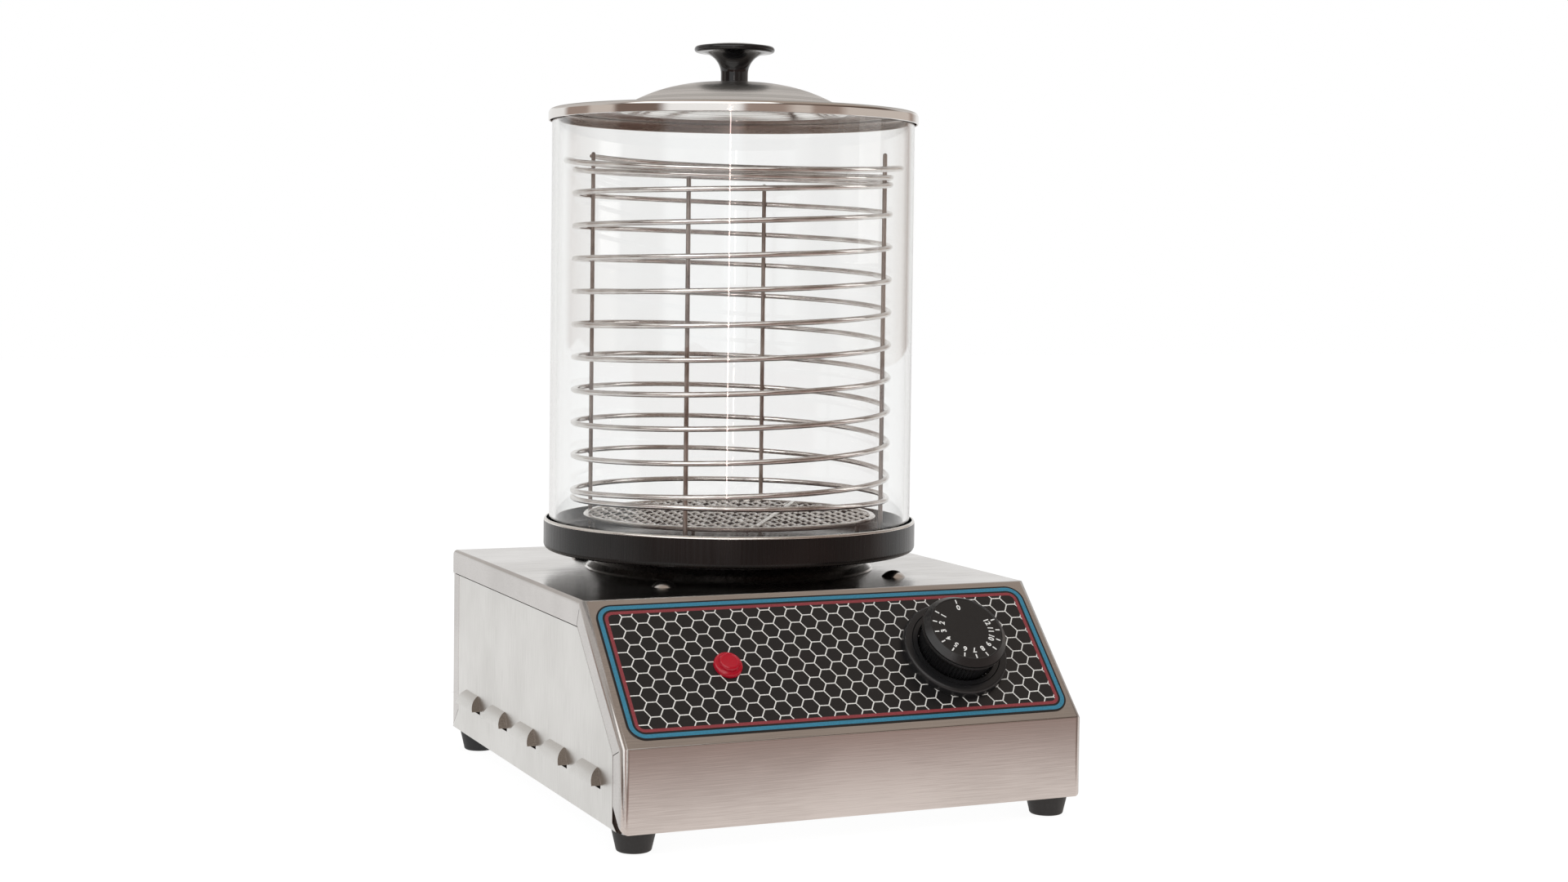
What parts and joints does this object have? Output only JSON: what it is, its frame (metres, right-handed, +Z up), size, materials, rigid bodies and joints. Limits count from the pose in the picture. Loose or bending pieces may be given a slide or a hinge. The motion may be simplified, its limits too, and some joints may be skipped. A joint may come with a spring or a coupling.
{
  "type": "hot dog steamer",
  "caption": "Counter-top hot dog steamer: sloped steel housing with a dial and pilot lamp, hotplate, water pan, glass column, coiled wire basket and lift-off lid.",
  "frame": {"origin": "on the ground, under the middle of the whole object's box", "axes": "+Z up, -Y towards the control panel's side, +X to the right of a person facing the control panel"},
  "size_m": [0.26, 0.304, 0.4029],
  "materials": {
    "brushed_sheet": "stainless sheet with a fine straight grain",
    "polished_sheet": "bright polished stainless steel",
    "spun_steel": "stainless steel with round spinning marks",
    "wire_steel": "bright drawn stainless wire",
    "tinted_rod": "heat-tinted steel rod",
    "galvanised_sheet": "dull galvanised sheet",
    "plated_steel": "zinc-plated steel",
    "printed_overlay": "satin printed film with stripes and a fine honeycomb",
    "dial_plastic": "black satin thermoset",
    "knob_plastic": "black glossy thermoset",
    "red_lens": "clear red lens",
    "black_nylon": "moulded nylon",
    "white_nylon": "moulded nylon",
    "thermostat_ceramic": "unglazed ceramic",
    "cast_plate": "black coated cast iron",
    "dark_anodised": "dark hard-anodised aluminium, turned",
    "clear_glass": "clear heat-resistant glass",
    "foot_rubber": "black rubber"
  },
  "bodies": {
    "housing": {"top_cover": "brushed_sheet", "left_side_panel": "brushed_sheet", "right_side_panel": "brushed_sheet", "rear_panel": "brushed_sheet", "base_plate": "galvanised_sheet", "rear_screws": "plated_steel", "control_overlay": "printed_overlay", "dial_bezel": "dial_plastic", "thermostat_body": "thermostat_ceramic", "thermostat_screws": "plated_steel", "pilot_lamp_lens": "red_lens", "pilot_lamp_body": "black_nylon", "pilot_lamp_nut": "plated_steel", "hotplate": "cast_plate", "hotplate_ring": "polished_sheet", "hotplate_stud": "plated_steel", "hotplate_clamp_bar": "galvanised_sheet", "hotplate_nut": "plated_steel", "hotplate_terminals": "thermostat_ceramic", "top_stiffener": "galvanised_sheet", "domed_screws": "polished_sheet", "domed_screw_nuts": "plated_steel", "terminal_block": "white_nylon", "cable_gland": "black_nylon", "gland_nut": "black_nylon", "foot_front_left": "foot_rubber", "foot_front_right": "foot_rubber", "foot_rear_left": "foot_rubber", "foot_rear_right": "foot_rubber", "foot_screws": "plated_steel", "foot_nuts": "plated_steel"},
    "dial": {"dial_knob": "dial_plastic", "dial_shaft": "plated_steel"},
    "pan": {"water_pan": "dark_anodised"},
    "grate": {"mesh_grate": "wire_steel", "grate_feet": "wire_steel"},
    "glass": {"glass_cylinder": "clear_glass"},
    "basket": {"basket_coil": "wire_steel", "basket_rod_left": "tinted_rod", "basket_rod_front": "tinted_rod", "basket_rod_right": "tinted_rod", "basket_rod_back": "tinted_rod"},
    "lid": {"lid_shell": "spun_steel", "lid_knob": "knob_plastic", "lid_screw": "plated_steel", "lid_washer": "plated_steel"}
  },
  "joints": [
    {"name": "dial_turn", "type": "hinge", "parent": "housing", "child": "dial", "pos_m": [0.066, -0.121, 0.083], "axis": [0, 0.7071, -0.7071], "range_deg": [0, 307]},
    {"name": "pan_lift", "type": "slide", "parent": "housing", "child": "pan", "axis": [0, 0, 1], "range_m": [0, 0.06]},
    {"name": "grate_lift", "type": "slide", "parent": "pan", "child": "grate", "axis": [0, 0, 1], "range_m": [0, 0.19]},
    {"name": "glass_lift", "type": "slide", "parent": "pan", "child": "glass", "axis": [0, 0, 1], "range_m": [0, 0.26]},
    {"name": "lid_lift", "type": "slide", "parent": "glass", "child": "lid", "axis": [0, 0, 1], "range_m": [0, 0.3]},
    {"name": "basket_lift", "type": "slide", "parent": "pan", "child": "basket", "axis": [0, 0, 1], "range_m": [0, 0.24]}
  ],
  "couplings": [
    {"joint": "basket_lift", "follows": "lid_lift", "ratio": 0.8}
  ]
}
